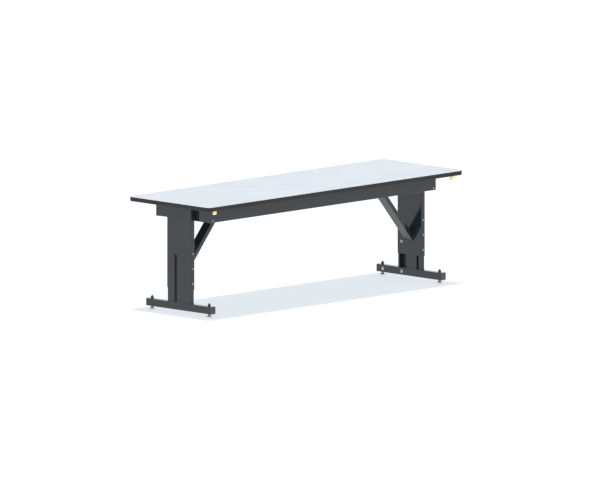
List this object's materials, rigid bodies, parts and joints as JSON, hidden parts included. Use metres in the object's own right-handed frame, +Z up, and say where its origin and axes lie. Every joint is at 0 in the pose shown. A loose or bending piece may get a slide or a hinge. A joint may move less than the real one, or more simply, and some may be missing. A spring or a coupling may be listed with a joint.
{
  "type": "height-adjustable workbench",
  "caption": "Height-adjustable workbench: laminated worktop on a steel beam frame, telescopic legs lifted by screw actuators, knee braces and levelling feet.",
  "frame": {"origin": "on the floor under the middle of the worktop", "axes": "+X along the worktop's length, -Y towards the user, +Z up"},
  "size_m": [2.4384, 0.762, 0.768],
  "materials": {
    "light_laminate": "light grey-white high-pressure laminate, satin",
    "dark_edge_band": "charcoal PVC edge band, satin",
    "dark_backer": "dark phenolic backer sheet, matt",
    "particle_board": "bare particle board",
    "black_powder_coat": "gloss black powder coat on steel",
    "zinc_plate": "bright zinc plate",
    "black_oxide": "black oxide on steel, oiled",
    "black_plastic": "moulded black plastic",
    "yellow_plastic": "pale yellow moulded plastic",
    "cast_aluminium": "die cast, as cast",
    "dark_motor_paint": "dark motor enamel",
    "bright_steel": "ground steel, oiled",
    "bronze": "cast bronze, machined",
    "black_rubber": "matt black extruded rubber"
  },
  "bodies": {
    "left_base": {"left_inner_column": "black_powder_coat", "left_actuator_tube": "black_powder_coat", "left_lift_nut": "bronze", "left_slot_seal": "black_rubber", "left_foot_bar": "black_powder_coat", "left_front_end_cap": "black_plastic", "left_rear_end_cap": "black_plastic"},
    "top_frame": {"worktop_core": "particle_board", "worktop_laminate": "light_laminate", "worktop_backer": "dark_backer", "worktop_edge_band": "dark_edge_band", "front_beam": "black_powder_coat", "rear_beam": "black_powder_coat", "lift_motor": "dark_motor_paint", "worm_gearbox": "cast_aluminium", "control_box": "black_powder_coat", "left_side_arm": "black_powder_coat", "left_cross_member": "black_powder_coat", "left_column_bracket": "black_powder_coat", "left_sleeve": "black_powder_coat", "left_knee_brace": "black_powder_coat", "left_gear_head": "cast_aluminium", "left_ground_jack": "yellow_plastic", "left_stop_bolt": "zinc_plate", "left_sleeve_bolt_1": "zinc_plate", "left_sleeve_bolt_2": "zinc_plate", "left_sleeve_bolt_3": "zinc_plate", "right_side_arm": "black_powder_coat", "right_cross_member": "black_powder_coat", "right_column_bracket": "black_powder_coat", "right_sleeve": "black_powder_coat", "right_knee_brace": "black_powder_coat", "right_gear_head": "cast_aluminium", "right_ground_jack": "yellow_plastic", "right_stop_bolt": "zinc_plate", "right_sleeve_bolt_1": "zinc_plate", "right_sleeve_bolt_2": "zinc_plate", "right_sleeve_bolt_3": "zinc_plate"},
    "right_base": {"right_inner_column": "black_powder_coat", "right_actuator_tube": "black_powder_coat", "right_lift_nut": "bronze", "right_slot_seal": "black_rubber", "right_foot_bar": "black_powder_coat", "right_front_end_cap": "black_plastic", "right_rear_end_cap": "black_plastic"},
    "drive_shaft": {"cross_shaft": "bright_steel", "left_shaft_gear": "bright_steel", "right_shaft_gear": "bright_steel"},
    "left_screw": {"left_lead_screw": "bright_steel", "left_screw_gear": "bright_steel"},
    "right_screw": {"right_lead_screw": "bright_steel", "right_screw_gear": "bright_steel"},
    "left_front_leveller": {"left_front_leveller_stud": "black_oxide", "left_front_leveller_pad": "zinc_plate"},
    "left_rear_leveller": {"left_rear_leveller_stud": "black_oxide", "left_rear_leveller_pad": "zinc_plate"},
    "right_front_leveller": {"right_front_leveller_stud": "black_oxide", "right_front_leveller_pad": "zinc_plate"},
    "right_rear_leveller": {"right_rear_leveller_stud": "black_oxide", "right_rear_leveller_pad": "zinc_plate"}
  },
  "joints": [
    {"name": "lift", "type": "slide", "parent": "left_base", "child": "top_frame", "axis": [0, 0, 1], "range_m": [-0.057, 0.2476]},
    {"name": "right_lift", "type": "slide", "parent": "top_frame", "child": "right_base", "axis": [0, 0, -1], "range_m": [-0.057, 0.2476]},
    {"name": "shaft_spin", "type": "hinge", "parent": "top_frame", "child": "drive_shaft", "pos_m": [0, -0.014, 0.693], "axis": [1, 0, 0], "range_deg": [-2100, 9000]},
    {"name": "left_screw_spin", "type": "hinge", "parent": "top_frame", "child": "left_screw", "pos_m": [-1.0993, -0.014, 0.5], "axis": [0, 0, 1], "range_deg": [-2100, 9000]},
    {"name": "right_screw_spin", "type": "hinge", "parent": "top_frame", "child": "right_screw", "pos_m": [1.0993, -0.014, 0.5], "axis": [0, 0, -1], "range_deg": [-2100, 9000]},
    {"name": "left_front_levelling", "type": "slide", "parent": "left_base", "child": "left_front_leveller", "axis": [0, 0, -1], "range_m": [-0.002, 0.01]},
    {"name": "left_rear_levelling", "type": "slide", "parent": "left_base", "child": "left_rear_leveller", "axis": [0, 0, -1], "range_m": [-0.002, 0.01]},
    {"name": "right_front_levelling", "type": "slide", "parent": "right_base", "child": "right_front_leveller", "axis": [0, 0, -1], "range_m": [-0.002, 0.01]},
    {"name": "right_rear_levelling", "type": "slide", "parent": "right_base", "child": "right_rear_leveller", "axis": [0, 0, -1], "range_m": [-0.002, 0.01]}
  ],
  "couplings": [
    {"joint": "right_lift", "follows": "lift", "ratio": 1},
    {"joint": "shaft_spin", "follows": "lift", "rad_per_m": 628.32},
    {"joint": "left_screw_spin", "follows": "lift", "rad_per_m": 628.32},
    {"joint": "right_screw_spin", "follows": "lift", "rad_per_m": 628.32}
  ]
}
